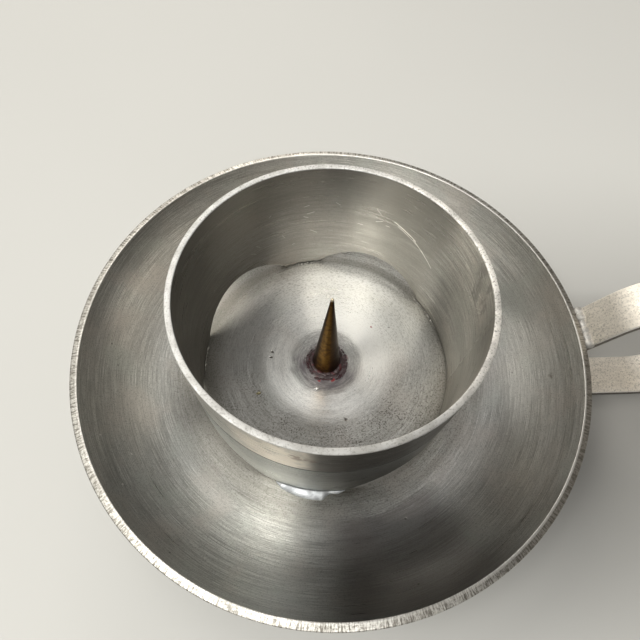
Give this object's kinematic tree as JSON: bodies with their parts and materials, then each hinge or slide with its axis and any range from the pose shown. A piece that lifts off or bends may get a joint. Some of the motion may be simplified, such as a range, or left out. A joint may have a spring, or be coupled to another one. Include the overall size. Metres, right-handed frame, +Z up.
{
  "type": "pillar candle holder",
  "caption": "Round pewter dish with a cup ring on cut feet, a pricket spike inside it and a strip handle bent into a finger loop.",
  "frame": {"origin": "centre of the dish's flat underside, where the holder rests on the table", "axes": "+Z up; +X from the dish out along the handle; +Y to the side, away from the lower handle strand"},
  "size_m": [0.1817, 0.14, 0.0455],
  "materials": {
    "pewter": "brushed and turned pewter with fine round tool marks",
    "solder": "bright lumpy solder",
    "brass": "darkened brass with worn bright edges"
  },
  "bodies": {
    "root": {"dish": "pewter", "cup_ring": "pewter", "cup_seam_solder": "solder", "foot_solder_front": "solder", "foot_solder_left": "solder", "foot_solder_back": "solder", "foot_solder_right": "solder", "spike": "brass", "spike_collar_solder": "solder", "spike_tail_solder": "solder", "handle_strip": "pewter", "handle_rim_solder": "solder", "handle_base_solder": "solder"}
  },
  "joints": []
}
